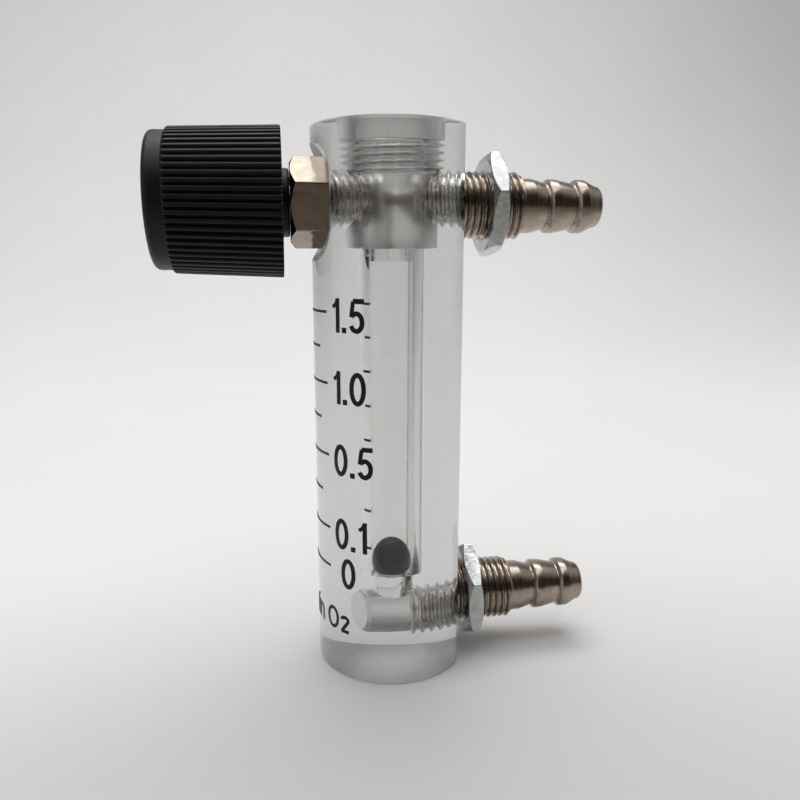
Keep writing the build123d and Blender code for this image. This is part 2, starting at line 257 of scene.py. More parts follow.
def cut(target, tool):
    """Cut the tool out of the target; the tool is removed and its material stays on the faces it cuts."""
    mod = target.modifiers.new("cut", "BOOLEAN")
    mod.operation = "DIFFERENCE"
    mod.solver = "EXACT"
    mod.object = tool
    mod.material_mode = "TRANSFER"
    depsgraph = bpy.context.evaluated_depsgraph_get()
    mesh = bpy.data.meshes.new_from_object(target.evaluated_get(depsgraph), depsgraph=depsgraph)
    target.modifiers.clear()
    old = target.data
    target.data = mesh
    bpy.data.meshes.remove(old)
    bpy.data.objects.remove(tool)


def arc_points(centre, radii, start, end, steps):
    """Points of an elliptical arc, angles in degrees."""
    return [
        (
            centre[0] + radii[0] * math.cos(math.radians(start + (end - start) * i / steps)),
            centre[1] + radii[1] * math.sin(math.radians(start + (end - start) * i / steps)),
        )
        for i in range(steps + 1)
    ]


# ---------------------------------------------------------------- materials


def new_material(name):
    mat = bpy.data.materials.new(name)
    mat.use_nodes = True
    nodes = mat.node_tree.nodes
    shader = nodes["Principled BSDF"]
    return mat, nodes, mat.node_tree.links, shader


def coordinates(nodes, links, scale=(1, 1, 1)):
    """Object coordinates in millimetres, stretched by scale."""
    coord = nodes.new("ShaderNodeTexCoord")
    mapping = nodes.new("ShaderNodeMapping")
    mapping.inputs["Scale"].default_value = [s / MM for s in scale]
    links.new(coord.outputs["Object"], mapping.inputs["Vector"])
    return mapping.outputs["Vector"]


def noise(nodes, links, vector, scale, detail=3.0, roughness=0.5):
    node = nodes.new("ShaderNodeTexNoise")
    node.inputs["Scale"].default_value = scale
    node.inputs["Detail"].default_value = detail
    node.inputs["Roughness"].default_value = roughness
    links.new(vector, node.inputs["Vector"])
    return node.outputs["Fac"]


def ramp(nodes, links, value, stops):
    """A colour ramp; stops are (position, colour) with a grey number or an rgb triple as the colour."""
    node = nodes.new("ShaderNodeValToRGB")
    elements = node.color_ramp.elements
    while len(elements) > 1:
        elements.remove(elements[-1])
    for i, (position, colour) in enumerate(stops):
        rgb = (colour,) * 3 if isinstance(colour, (int, float)) else colour
        element = elements[0] if i == 0 else elements.new(position)
        element.position = position
        element.color = (*rgb, 1)
    links.new(value, node.inputs["Fac"])
    return node.outputs["Color"]


def bump(nodes, links, height, strength, distance, normal=None):
    """Bump of this height signal; distance in millimetres."""
    node = nodes.new("ShaderNodeBump")
    node.inputs["Strength"].default_value = strength
    node.inputs["Distance"].default_value = distance * MM
    links.new(height, node.inputs["Height"])
    if normal is not None:
        links.new(normal, node.inputs["Normal"])
    return node.outputs["Normal"]


def acrylic(name, tint, rough_low, rough_high, mark_scale, mark_strength, clear=1.0):
    """Clear acrylic: fine drag marks in its roughness and a shallow bump."""
    mat, nodes, links, shader = new_material(name)
    shader.inputs["Base Color"].default_value = (*tint, 1)
    shader.inputs["Transmission Weight"].default_value = clear
    shader.inputs["IOR"].default_value = 1.49
    vector = coordinates(nodes, links, mark_scale)
    marks = noise(nodes, links, vector, 1.0, 4.0, 0.6)
    rough = ramp(nodes, links, marks, [(0.35, rough_low), (0.75, rough_high)])
    links.new(rough, shader.inputs["Roughness"])
    links.new(bump(nodes, links, marks, mark_strength, 0.02), shader.inputs["Normal"])
    return mat


def metal(name, dark, light, rough_low, rough_high, grain, grain_strength, dent_strength):
    """Plated metal: cloudy colour, directional tool marks, and small dents."""
    mat, nodes, links, shader = new_material(name)
    shader.inputs["Metallic"].default_value = 1.0
    vector = coordinates(nodes, links)
    cloud = noise(nodes, links, vector, 0.8, 5.0, 0.6)
    links.new(ramp(nodes, links, cloud, [(0.3, dark), (0.7, light)]), shader.inputs["Base Color"])
    drag = noise(nodes, links, coordinates(nodes, links, grain), 1.0, 3.0, 0.6)
    rough = ramp(nodes, links, drag, [(0.3, rough_low), (0.7, rough_high)])
    links.new(rough, shader.inputs["Roughness"])
    dents = noise(nodes, links, vector, 1.3, 2.0, 0.5)
    first = bump(nodes, links, drag, grain_strength, 0.02)
    links.new(bump(nodes, links, dents, dent_strength, 0.12, first), shader.inputs["Normal"])
    return mat


def moulded(name, dark, light, rough_low, rough_high, grain_scale, grain_strength, coat=0.0, shine=0.5):
    """Moulded plastic or rubber: faint mottling, a fine grain and uneven gloss."""
    mat, nodes, links, shader = new_material(name)
    vector = coordinates(nodes, links)
    cloud = noise(nodes, links, vector, 0.5, 4.0, 0.6)
    links.new(ramp(nodes, links, cloud, [(0.3, dark), (0.7, light)]), shader.inputs["Base Color"])
    links.new(ramp(nodes, links, cloud, [(0.3, rough_low), (0.7, rough_high)]), shader.inputs["Roughness"])
    grain = noise(nodes, links, vector, grain_scale, 3.0, 0.6)
    links.new(bump(nodes, links, grain, grain_strength, 0.02), shader.inputs["Normal"])
    shader.inputs["Specular IOR Level"].default_value = shine
    shader.inputs["Coat Weight"].default_value = coat
    shader.inputs["Coat Roughness"].default_value = 0.12
    return mat


CLEAR = acrylic("acrylic_polished", (0.67, 0.67, 0.665), 0.0, 0.035, (0.5, 0.5, 0.05), 0.05)
BORED = acrylic("acrylic_bore", (0.95, 0.95, 0.945), 0.01, 0.05, (0.6, 0.6, 0.1), 0.05)
FITTED = acrylic("acrylic_fitted", (1.0, 0.995, 0.985), 0.36, 0.50, (1.2, 1.2, 0.5), 0.08, 0.95)
TAPPED = acrylic("acrylic_tapped", (0.97, 0.96, 0.95), 0.24, 0.38, (3.0, 3.0, 3.0), 0.10, 0.94)
DRILLED = acrylic("acrylic_drilled", (0.97, 0.96, 0.95), 0.34, 0.50, (2.0, 0.6, 0.6), 0.12, 0.90)
TOOLED = acrylic("acrylic_machined", (1.0, 0.995, 0.985), 0.30, 0.45, (2.0, 2.0, 2.0), 0.15, 0.90)
SAWN = acrylic("acrylic_end", (0.90, 0.90, 0.895), 0.48, 0.60, (0.4, 3.0, 0.4), 0.10, 0.92)
TURNED = (6.0, 0.3, 0.3)
FACED = (0.5, 5.0, 5.0)
NICKEL = metal("plated_brass", (0.31, 0.26, 0.215), (0.42, 0.365, 0.31), 0.16, 0.30, TURNED, 0.25, 0.03)
# Painted shade: a darker, browner copy of the plated nickel, standing in for a dark warm room reflected in the
# hexagon's front facets.
HEX_NICKEL_PAINTED_SHADE = metal("plated_hexagon_painted_shade", (0.24, 0.195, 0.155), (0.31, 0.26, 0.215), 0.14, 0.26, FACED, 0.12, 0.05)
ZINC = metal("zinc_plate", (0.38, 0.39, 0.395), (0.54, 0.55, 0.555), 0.14, 0.30, (1.2, 1.2, 3.0), 0.14, 0.45)
BRASS = metal("turned_brass", (0.60, 0.46, 0.28), (0.74, 0.60, 0.38), 0.18, 0.32, (7.0, 0.3, 0.3), 0.25, 0.02)
STEEL = metal("screw_steel", (0.50, 0.50, 0.50), (0.66, 0.66, 0.66), 0.18, 0.32, (1.0, 5.0, 5.0), 0.20, 0.02)
KNOB = moulded("knob_plastic", (0.003, 0.003, 0.0035), (0.007, 0.007, 0.008), 0.38, 0.52, 9.0, 0.12, shine=0.3)
CAP = moulded("cap_plastic", (0.008, 0.008, 0.009), (0.015, 0.015, 0.016), 0.28, 0.42, 6.0, 0.10, shine=0.35)
BALL = moulded("ball_black", (0.004, 0.004, 0.006), (0.010, 0.010, 0.013), 0.05, 0.10, 4.0, 0.03, shine=0.20)
RUBBER = moulded("o_ring_rubber", (0.008,) * 3, (0.016,) * 3, 0.20, 0.34, 7.0, 0.08, coat=0.3)
INK = moulded("ink", (0.003, 0.003, 0.006), (0.008, 0.008, 0.012), 0.40, 0.60, 8.0, 0.15, shine=0.30)


# ---------------------------------------------------------------- the acrylic body


def slab(lowest, highest, material):
    ends = list(zip(lowest, highest))
    corners = [(x, y, z) for x in ends[0] for y in ends[1] for z in ends[2]]
    faces = [(0, 1, 3, 2), (4, 6, 7, 5), (0, 4, 5, 1), (2, 3, 7, 6), (0, 2, 6, 4), (1, 5, 7, 3)]
    return outward(mesh_object("cutter", corners, faces, [material]))


def valve_and_outlet_cutter():
    """The two drillings at the outlet's height, threaded where they are tapped, with the seat between them."""
    radius = PORT_THREAD_RADIUS + THREAD_GAP
    outer = body_radius + 1
    rows = [Row(-outer, 0), Row(-outer, radius - THREAD_DEPTH)]
    rows += thread_rows(-outer + 0.01, valve_nose, radius, THREAD_DEPTH, 0, 0.5)
    rows += plain(
        [
            (valve_nose + STEP, PORT_BORE),
            (SEAT_X - CONE, PORT_BORE),
            (SEAT_X, ORIFICE),
            (SEAT_X + ORIFICE_LAND, ORIFICE),
            (SEAT_X + ORIFICE_LAND + CONE, PORT_BORE),
            (PORT_SHOULDER, PORT_BORE),
        ]
    )
    rows += thread_rows(PORT_SHOULDER + STEP, outer - 0.01, radius, THREAD_DEPTH, 0.5, 0)
    rows += [Row(outer, radius - THREAD_DEPTH), Row(outer, 0)]
    cutter = turned("cutter", rows, "x", outlet_z, materials=[DRILLED])
    return paint(cutter, TAPPED, lambda c: c[0] < valve_nose or c[0] > PORT_SHOULDER)


def inlet_cutter():
    """The inlet's drilling, threaded from its mouth."""
    radius = PORT_THREAD_RADIUS + THREAD_GAP
    outer = body_radius + 1
    thread_start = PORT_SHOULDER - 0.6
    rows = plain(
        [
            (-INLET_REACH, 0),
            (-INLET_REACH, PORT_BORE - 0.5),
            (-INLET_REACH + 0.5, PORT_BORE),
            (thread_start, PORT_BORE),
        ]
    )
    rows += thread_rows(thread_start + STEP, outer - 0.01, radius, THREAD_DEPTH, 0.5, 0)
    rows += [Row(outer, radius - THREAD_DEPTH), Row(outer, 0)]
    cutter = turned("cutter", rows, "x", inlet_z, materials=[DRILLED])
    return paint(cutter, TAPPED, lambda c: c[0] > thread_start)


def head_cutter():
    """Room for the head plug, threaded under its top."""
    room = PLUG_RADIUS + PLUG_GAP
    rows = plain([(plug_floor, 0), (plug_floor, room), (PLUG_THREAD_FLOOR, room)])
    wide = PLUG_THREAD + PLUG_GAP
    rows += thread_rows(PLUG_THREAD_FLOOR + STEP, PLUG_THREAD_TOP, wide, PLUG_THREAD_DEPTH, 0.4, 0.3)
    rows += plain([(PLUG_THREAD_TOP + 0.1, wide), (body_height + 1, wide)])
    rows += [Row(body_height + 1, 0)]
    cutter = turned("cutter", rows, "z", materials=[FITTED])
    return paint(cutter, TOOLED, in_plug_thread)


def in_plug_thread(centre):
    """Whether a point lies on the flank of the plug's thread."""
    outside = math.hypot(centre[0], centre[1]) > PLUG_RADIUS - 0.1
    return outside and PLUG_THREAD_FLOOR < centre[2] < PLUG_THREAD_TOP


def seal_room(start, end, height):
    """Plain cutter for the wider mouth of a port, where its seal sits."""
    rows = plain([(start, 0), (start, SEAL_ROOM_RADIUS), (end, SEAL_ROOM_RADIUS), (end, 0)])
    return turned("cutter", rows, "x", height, materials=[BORED])


def build_body():
    rim = 0.3
    rows = plain(
        [
            (0, 0),
            (0, body_radius - rim),
            (rim * 0.3, body_radius - rim * 0.3),
            (rim, body_radius),
            (body_height - rim, body_radius),
            (body_height - rim * 0.3, body_radius - rim * 0.3),
            (body_height, body_radius - rim),
            (body_height, 0),
        ]
    )
    body = turned("acrylic_body", rows, "z", segments=288, materials=[CLEAR])
    body.data.materials.append(SAWN)
    for face in body.data.polygons:
        if abs(face.normal.z) > 0.9:
            face.material_index = 1
    wide = body_radius * 2
    cut(body, slab((flat_x, -wide, -1), (wide, wide, body_height + 1), SAWN))
    over = 0.3
    bore = plain([(SEAT_FLOOR, 0), (SEAT_FLOOR, BORE_BOTTOM), (plug_floor, BORE_TOP)])
    bore += plain([(plug_floor + over, BORE_TOP), (plug_floor + over, 0)])
    cut(body, turned("cutter", bore, "z", segments=192, materials=[BORED]))
    cut(body, head_cutter())
    end = SEAT_FLOOR + over
    hole = plain([(inlet_z, 0), (inlet_z, SEAT_HOLE), (end, SEAT_HOLE), (end, 0)])
    cut(body, turned("cutter", hole, "z", segments=96, materials=[BORED]))
    cut(body, inlet_cutter())
    cut(body, valve_and_outlet_cutter())
    pocket = plain(
        [
            (-body_radius - 1, 0),
            (-body_radius - 1, POCKET_RADIUS),
            (POCKET_FLOOR - 0.3, POCKET_RADIUS),
            (POCKET_FLOOR, POCKET_RADIUS - 0.3),
            (POCKET_FLOOR, 0),
        ]
    )
    cut(body, turned("cutter", pocket, "x", outlet_z, segments=192, materials=[SAWN]))
    cut(body, seal_room(POCKET_FLOOR - 1, POCKET_FLOOR + SEAL_ROOM_LENGTH, outlet_z))
    cut(body, seal_room(flat_x - SEAL_ROOM_LENGTH, flat_x + 1, outlet_z))
    cut(body, seal_room(flat_x - SEAL_ROOM_LENGTH, flat_x + 1, inlet_z))
    smooth(body, 24)
    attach(body, "meter")
    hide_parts("meter_body")


def build_plug():
    rows = plain([(plug_floor, 0), (plug_floor, PLUG_RADIUS - 0.2), (plug_floor + 0.2, PLUG_RADIUS)])
    rows += [Row(PLUG_THREAD_FLOOR, PLUG_RADIUS)]
    rows += thread_rows(PLUG_THREAD_FLOOR + STEP, PLUG_THREAD_TOP, PLUG_THREAD, PLUG_THREAD_DEPTH, 0.4, 0.3)
    rows += plain([(PLUG_THREAD_TOP + 0.1, PLUG_THREAD), (body_height - 0.2, PLUG_THREAD)])
    rows += plain([(body_height, PLUG_THREAD - 0.2), (body_height, 0)])
    plug = turned("acrylic_plug", rows, "z", materials=[FITTED])
    paint(plug, TOOLED, in_plug_thread)
    paint(plug, SAWN, lambda c: c[2] > body_height - 0.25)
    cut(plug, valve_and_outlet_cutter())
    passage = plain([(plug_floor - 1, 0), (plug_floor - 1, PASSAGE), (outlet_z, PASSAGE), (outlet_z, 0)])
    drill = turned("cutter", passage, "z", segments=64, materials=[DRILLED])
    drill.data.transform(Matrix.Translation((PASSAGE_X * MM, 0, 0)))
    cut(plug, drill)
    smooth(plug, 24)
    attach(plug, "meter")
    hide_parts("head_plug")


# ---------------------------------------------------------------- fittings, nuts and valve


def build_fitting(name, node, height):
    """Turned barbed fitting: helical thread, neck, two barbs, through bore."""
    tip = fitting_tip
    end = flat_x + FITTING_THREAD
    bore = 2.0
    crest, valley, neck = 4.06, 3.48, 4.1
    tip_round = 0.62
    relief_start = flat_x - SEAL_ROOM_LENGTH
    shoulder = flat_x + 0.05
    rows = [Row(fitting_inner, bore + 0.2), Row(fitting_inner, RELIEF - 0.1)]
    rows += thread_rows(fitting_inner + 0.05, relief_start, PORT_THREAD_RADIUS, THREAD_DEPTH, 0.6, 0.3)
    root = THREAD_RADIUS - THREAD_DEPTH
    rows += plain([(relief_start + STEP, RELIEF), (shoulder, RELIEF), (shoulder, root)])
    rows += thread_rows(shoulder + STEP, end, THREAD_RADIUS, THREAD_DEPTH, 0.3, 0.35)
    first = end + BARB_FIRST
    second = first + BARB_PITCH
    outline = [(end + 0.12, neck + 0.02), (end + 0.3, neck), (end + 1.7, neck), (end + 1.95, neck - 0.04)]
    outline += [(first - 0.25, valley + 0.06)]
    for foot, after in ((first, second), (second, None)):
        outline += [(foot - 0.05, valley), (foot + 0.08, valley + 0.04), (foot + 0.42, crest - 0.06)]
        outline += [(foot + 0.55, crest), (foot + 1.55, crest), (foot + 1.8, crest - 0.03)]
        if after:
            outline += [(after - 0.25, valley + 0.06)]
    outline += [(tip - 0.95, 3.24)]
    outline += arc_points((tip - tip_round, 2.56), (tip_round, tip_round), 90 - math.degrees(0.15), 0, 6)
    outline += [(tip, bore + 0.28), (tip - 0.08, bore + 0.1), (tip - 0.3, bore), (fitting_inner + 0.2, bore)]
    rows += plain(outline)
    fitting = turned(name, rows, "x", height, segments=144, closed=True, materials=[NICKEL])
    smooth(fitting, 32)
    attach(fitting, "meter")
    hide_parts(node)


def hexagon_radii(flats, turn, rounding, segments):
    """Angles round a hexagon and its radius at each, with one corner turned from straight up towards -Y."""
    first = math.radians(90 + turn)
    offsets = np.arange(segments) * 2 * math.pi / segments
    apart = np.abs((offsets + math.pi / 6) % (math.pi / 3) - math.pi / 6)
    centre = (flats / 2 - rounding) / math.cos(math.pi / 6)
    tangent = math.atan2(rounding * 0.5, centre + rounding * math.cos(math.pi / 6))
    side = flats / 2 / np.cos(math.pi / 6 - apart)
    inside = np.sqrt(np.maximum(rounding**2 - (centre * np.sin(apart)) ** 2, 0))
    radii = np.where(apart < tangent, centre * np.cos(apart) + inside, side)
    return offsets + first, radii


def hexagonal(name, start, end, flats, turn, height, face_radius, slope, both, inner, material):
    """Hexagonal bar with turned-down corners round an inner outline of rows, as one grid round X."""
    segments = 432
    angles, radii = hexagon_radii(flats, turn, 0.22, segments)
    run = (radii - face_radius) * slope
    grid = [(np.full(segments, start), np.full(segments, face_radius))]
    edge = 0.06
    grid += [(start + run * t, face_radius + (radii - face_radius) * t) for t in (0.05, 0.5, 0.92)]
    grid += [(start + run + edge, radii)]
    if both:
        grid += [(end - run - edge, radii)]
        grid += [(end - run * t, face_radius + (radii - face_radius) * t) for t in (0.92, 0.5, 0.05)]
        grid += [(np.full(segments, end), np.full(segments, face_radius))]
    else:
        grid += [(np.full(segments, end - 0.1), radii), (np.full(segments, end), radii - 0.1)]
    for row in inner:
        phase = row.along / PITCH - angles / (2 * math.pi)
        grid += [(np.full(segments, row.along), row.radius - row.depth * (1 - thread_wave(phase)))]
    verts, faces = [], []
    for x, r in grid:
        verts += list(zip(x, r * np.cos(angles), height + r * np.sin(angles)))
    for i in range(len(grid)):
        a, b = i * segments, ((i + 1) % len(grid)) * segments
        faces += [(a + k, a + (k + 1) % segments, b + (k + 1) % segments, b + k) for k in range(segments)]
    return smooth(outward(mesh_object(name, verts, faces, [material])), 22)


def build_nut(name, node, body, turn):
    """Thin lock nut, chamfered on both faces, with a thread that matches the fitting's."""
    start, end = low(node)[0], high(node)[0]
    radius = THREAD_RADIUS + THREAD_GAP
    root = radius - THREAD_DEPTH
    inner = [Row(end, radius + 0.25), Row(end - 0.5, root + 0.15)]
    inner += thread_rows(end - 0.52, start + 0.52, radius, THREAD_DEPTH, 0.2, 0.2)
    inner += [Row(start + 0.5, root + 0.15), Row(start, radius + 0.25)]
    face = NUT_FLATS / 2 - 0.15
    nut = hexagonal(name, start, end, NUT_FLATS, turn, middle(node)[2], face, 0.55, True, inner, ZINC)
    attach(nut, body)
    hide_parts(node)


def build_valve_body():
    """Hexagon outside the body and threaded nose inside it, with the gland's bore through both."""
    hex_inner = POCKET_FLOOR - HEX_GAP
    gland = 2.55
    inner = plain([(hex_inner, gland), (hex_outer + 0.3, gland), (hex_outer, gland + 0.3)])
    face = HEX_FLATS / 2 - 0.1
    shape = (HEX_FLATS, HEX_TURN, outlet_z, face, 0.7)
    valve = hexagonal("valve_gland", hex_outer, hex_inner, *shape, False, inner, HEX_NICKEL_PAINTED_SHADE)
    relief_end = POCKET_FLOOR + SEAL_ROOM_LENGTH
    rows = [Row(hex_inner + 0.001, gland), Row(hex_inner + 0.001, RELIEF), Row(relief_end - STEP, RELIEF)]
    rows += thread_rows(relief_end, valve_nose - 0.3, PORT_THREAD_RADIUS, THREAD_DEPTH, 0.3, 0.3)
    room_start, room, drilled = valve_nose - 1.1, 2.75, 2.05
    rows += plain([(valve_nose, RELIEF - 0.15), (valve_nose, room), (room_start, room)])
    rows += plain([(room_start, drilled), (hex_inner + 1.6, drilled), (hex_inner + 1.6, gland)])
    nose = turned("valve_nose", rows, "x", outlet_z, closed=True, materials=[NICKEL])
    smooth(nose, 32)
    for part in (valve, nose):
        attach(part, "meter")
    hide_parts("valve_body")
    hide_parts("valve_body")


def build_stem():
    """Spindle with needle, stop collar, thread and a grooved shank."""
    tip, start = needle_tip_x, needle_tip_x - NEEDLE_LENGTH
    shank, thread, depth = 2.5, 2.0, 0.3
    collar, collar_radius = start - 1.6, 2.6
    groove, groove_half, groove_radius = middle("stem_o_ring")[0], 0.6, 1.49
    rows = plain([(stem_end, 0), (stem_end, shank - 0.3), (stem_end + 0.3, shank)])
    rows += plain([(groove - groove_half, shank), (groove - groove_half, groove_radius)])
    rows += plain([(groove + groove_half, groove_radius), (groove + groove_half, thread - depth)])
    rows += thread_rows(groove + 0.7, collar - 0.3, thread, depth, 0.4, 0.4)
    rows += plain([(collar, thread - depth), (collar, collar_radius - 0.2), (collar + 0.2, collar_radius)])
    rows += plain([(start - 0.2, collar_radius), (start, collar_radius - 0.2)])
    rows += plain([(start, 1.68), (tip - 0.15, 0.87), (tip, 0.7), (tip, 0)])
    stem = turned("spindle", rows, "x", outlet_z, segments=96, materials=[BRASS])
    smooth(stem, 32)
    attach(stem, "valve_spindle")
    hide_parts("valve_stem")


# ---------------------------------------------------------------- knob


def build_knob():
    """Ribbed, tapered knob with a smooth band at its outer end and a hollow back round the hub."""
    ribs, per_rib = 60, 14
    rib_depth = 0.45
    skirt = hub_face - 1.0
    band_end = knob_end + 2.5
    taper = math.tan(math.radians(2.3))
    hub, insert, shaft = 4.9, 3.5, 2.6
    insert_face = hub_face - 1.5
    web_outer, web_inner = knob_end + 1.5, knob_end + 6.5
    wall = 1.8
    segments = ribs * per_rib
    angles = np.arange(segments) * 2 * math.pi / segments
    phase = (np.arange(segments) % per_rib) / per_rib
    valley = np.clip(1 - np.abs(phase - 0.5) / 0.36, 0, 1)
    rib_wave = valley * valley * (3 - 2 * valley)

    def crest(x):
        return knob_radius - (skirt - x) * taper

    band = crest(band_end) - 0.25 - rib_depth / 2
    rounding = 0.9
    rings = []

    def ring(x, radius, ribbed=0.0):
        rings.append((x, radius - rib_depth * ribbed * rib_wave))

    cap_room = 8.1
    ring(web_outer, cap_room)
    ring(knob_end + 0.25, cap_room)
    ring(knob_end, cap_room + 0.25)
    for a in np.linspace(0, math.pi / 2, 9):
        ring(knob_end + rounding * (1 - math.cos(a)), band - rounding * (1 - math.sin(a)))
    ring(band_end - 0.02, band)
    for share in np.linspace(0, 1, 6):
        x = band_end + 0.45 * share
        ring(x, band + (crest(x) - band) * math.sin(share * math.pi / 2), share)
    for x in np.linspace(band_end + 0.6, skirt - 0.3, 12):
        ring(x, crest(x), 1.0)
    ring(skirt - 0.12, crest(skirt) - 0.04, 0.9)
    ring(skirt, crest(skirt) - 0.2, 0.7)
    inside = crest(skirt) - rib_depth - wall
    ring(skirt, inside + 0.2)
    ring(skirt - 0.2, inside)
    ring(web_inner + 0.5, inside - (skirt - web_inner) * taper)
    ring(web_inner, inside - (skirt - web_inner) * taper - 0.5)
    ring(web_inner, hub + 0.5)
    ring(web_inner + 0.5, hub)
    ring(hub_face - 0.25, hub)
    ring(hub_face - 0.07, hub - 0.07)
    ring(hub_face, hub - 0.25)
    ring(hub_face, insert + 0.1)
    ring(hub_face - 0.2, insert)
    ring(insert_face, insert)
    ring(insert_face, shaft)
    ring(web_outer, shaft)
    verts = []
    for x, radii in rings:
        radii = np.broadcast_to(radii, (segments,))
        verts += [(x, r * math.cos(a), outlet_z + r * math.sin(a)) for r, a in zip(radii, angles)]
    faces = []
    for i in range(len(rings)):
        a, b = i * segments, ((i + 1) % len(rings)) * segments
        faces += [(a + k, a + (k + 1) % segments, b + (k + 1) % segments, b + k) for k in range(segments)]
    knob = outward(mesh_object("ribbed_knob", verts, faces, [KNOB]))
    smooth(knob, 50)
    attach(knob, "valve_spindle")
    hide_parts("knob")


def build_cap():
    """Slightly domed cap with a shallow pointer groove towards the rim."""
    radius = 8.0
    start = low("knob_end_cap")[0]
    outline = [(start + 0.10, 0)]
    dome = 6.6
    outline += [(start + 0.10 * math.cos(r / dome * math.pi / 2), r) for r in np.linspace(0.6, dome, 11)]
    edge = np.linspace(0.3, math.pi / 2, 6)
    outline += [(start + 0.4 - 0.4 * math.cos(a), radius - 0.7 + 0.7 * math.sin(a)) for a in edge]
    outline += [(start + 1.4, radius), (start + 1.4, 0)]
    cap = turned("knob_cap", plain(outline), "x", outlet_z, segments=192, materials=[CAP])
    groove = slab((start - 1, -0.35, outlet_z + 3.2), (start + 0.22, 0.35, outlet_z + 6.4), CAP)
    cut(cap, groove)
    smooth(cap, 30)
    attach(cap, "valve_spindle")
    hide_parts("knob_end_cap")


# ---------------------------------------------------------------- rings, ball, stop


def build_ring(name, node, body, cord):
    """O-ring with a faint mould line round it."""
    centre = middle(node)
    outer = (high(node)[1] - low(node)[1]) / 2
    ring_radius = outer - cord
    rows = []
    for i in range(36):
        a = 2 * math.pi * i / 36
        flash = 0.012 * max(0.0, 1 - abs(math.sin(a)) * 6) if math.cos(a) > 0 else 0.0
        rows.append(Row(centre[0] + cord * math.sin(a), ring_radius + (cord + flash) * math.cos(a)))
    torus = turned(name, rows, "x", centre[2], segments=144, closed=True, materials=[RUBBER])
    smooth(torus, 60)
    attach(torus, body)
    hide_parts(node)


def build_seal(node):
    """Rubber ring with rounded corners in the mouth of a port."""
    start, end = low(node)[0], high(node)[0]
    outer = (high(node)[1] - low(node)[1]) / 2
    corner = SEAL_CORNER
    left, right = start + corner, end - corner
    inner, outer = outer - SEAL_WALL + corner, outer - corner
    outline = []
    for quarter, centre in enumerate(((right, outer), (left, outer), (left, inner), (right, inner))):
        outline += arc_points(centre, (corner, corner), 90 * quarter, 90 * quarter + 90, 6)
    rows, height = plain(outline), middle(node)[2]
    seal = turned(node + "_rubber", rows, "x", height, segments=144, closed=True, materials=[RUBBER])
    smooth(seal, 40)
    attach(seal, "meter")
    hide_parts(node)


def build_ball():
    rows = [Row(ball_z - ball_radius, 0)]
    rows += plain(arc_points((ball_z, 0), (ball_radius, ball_radius), 180, 0, 64)[1:-1])
    rows += [Row(ball_z + ball_radius, 0)]
    ball = turned("black_ball", rows, "z", segments=128, materials=[BALL])
    smooth(ball, 60)
    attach(ball, "float")
    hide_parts("float_ball")


# ---------------------------------------------------------------- printed scale


def stroke(path, width, closed=False):
    """A flat ribbon of this width along a path of (across, up) points: its vertices and quads."""
    points = np.array(path, float)
    if closed:
        ahead = np.roll(points, -1, axis=0) - np.roll(points, 1, axis=0)
    else:
        ahead = np.gradient(points, axis=0)
    ahead /= np.linalg.norm(ahead, axis=1)[:, None]
    side = np.stack([-ahead[:, 1], ahead[:, 0]], axis=1) * width / 2
    verts = np.concatenate([points + side, points - side])
    n = len(points)
    span = n if closed else n - 1
    faces = [(i, (i + 1) % n, (i + 1) % n + n, i + n) for i in range(span)]
    return verts, faces


def refine(path):
    """The same polyline with more points, so that it can follow the body's curve."""
    out = [path[0]]
    for a, b in zip(path, path[1:]):
        count = max(1, int(math.hypot(b[0] - a[0], b[1] - a[1]) / STROKE_STEP))
        for i in range(1, count + 1):
            out.append((a[0] + (b[0] - a[0]) * i / count, a[1] + (b[1] - a[1]) * i / count))
    return out


def glyph(mark, height, weight):
    """Strokes of a character drawn as lines and arcs, (path, width, closed), and how wide it is."""
    h, w = height, weight
    half = w / 2
    if mark in "0O":
        rx = (0.27 if mark == "0" else 0.375) * h - half
        oval = arc_points((rx + half, h / 2), (rx, h / 2 - half), 0, 360, 48)[:-1]
        return [(oval, w, True)], 2 * rx + w
    if mark == "1":
        x = 0.235 * h
        flag = refine([(0.04 * h, 0.745 * h), (0.15 * h, 0.81 * h), (x - 0.1 * w, 0.95 * h)])
        return [(refine([(x, 0), (x, h)]), w, False), (flag, w * 0.8, False)], x + half
    if mark == "5":
        top = refine([(0.50 * h, h - half), (0.15 * h, h - half)])
        left = refine([(0.155 * h, h - half), (0.09 * h, 0.47 * h)])
        bowl = arc_points((0.255 * h, 0.325 * h), (0.255 * h - half, 0.325 * h - half), 142, -158, 30)
        return [(top, w, False), (left, w * 0.9, False), (bowl, w, False)], 0.53 * h
    if mark == "2":
        arc = arc_points((0.27 * h, 0.73 * h), (0.23 * h, 0.27 * h - half), 170, -38, 20)
        tail = refine([arc[-1], (0.06 * h, half)])
        foot = refine([(0.02 * h, half), (0.54 * h, half)])
        return [(arc, w, False), (tail, w, False), (foot, w, False)], 0.56 * h
    if mark == ".":
        return [([(half * 1.1, 0), (half * 1.1, w * 1.1)], w * 1.1, False)], w * 1.1
    if mark == "L":
        stem = refine([(half, 0), (half, h)])
        foot = refine([(half, half), (0.5 * h, half)])
        return [(stem, w, False), (foot, w, False)], 0.5 * h
    if mark == "/":
        return [(refine([(0, 0), (0.28 * h, h)]), w * 0.9, False)], 0.28 * h
    if mark == "i":
        stem = refine([(half, 0), (half, 0.72 * h)])
        return [(stem, w, False), ([(half, 0.86 * h), (half, h)], w, False)], w
    low_h = 0.74 * h
    humps = 2 if mark == "m" else 1
    span = 0.40 * h if mark == "m" else 0.44 * h
    parts = [(refine([(half, 0), (half, low_h)]), w, False)]
    for i in range(humps):
        x0 = half + i * span
        top = arc_points((x0 + span / 2, low_h - span / 2), (span / 2, span / 2 - half), 165, 0, 14)
        leg = refine([(x0 + span, low_h - span / 2), (x0 + span, 0)])
        parts += [(top, w, False), (leg, w, False)]
    return parts, w + humps * span


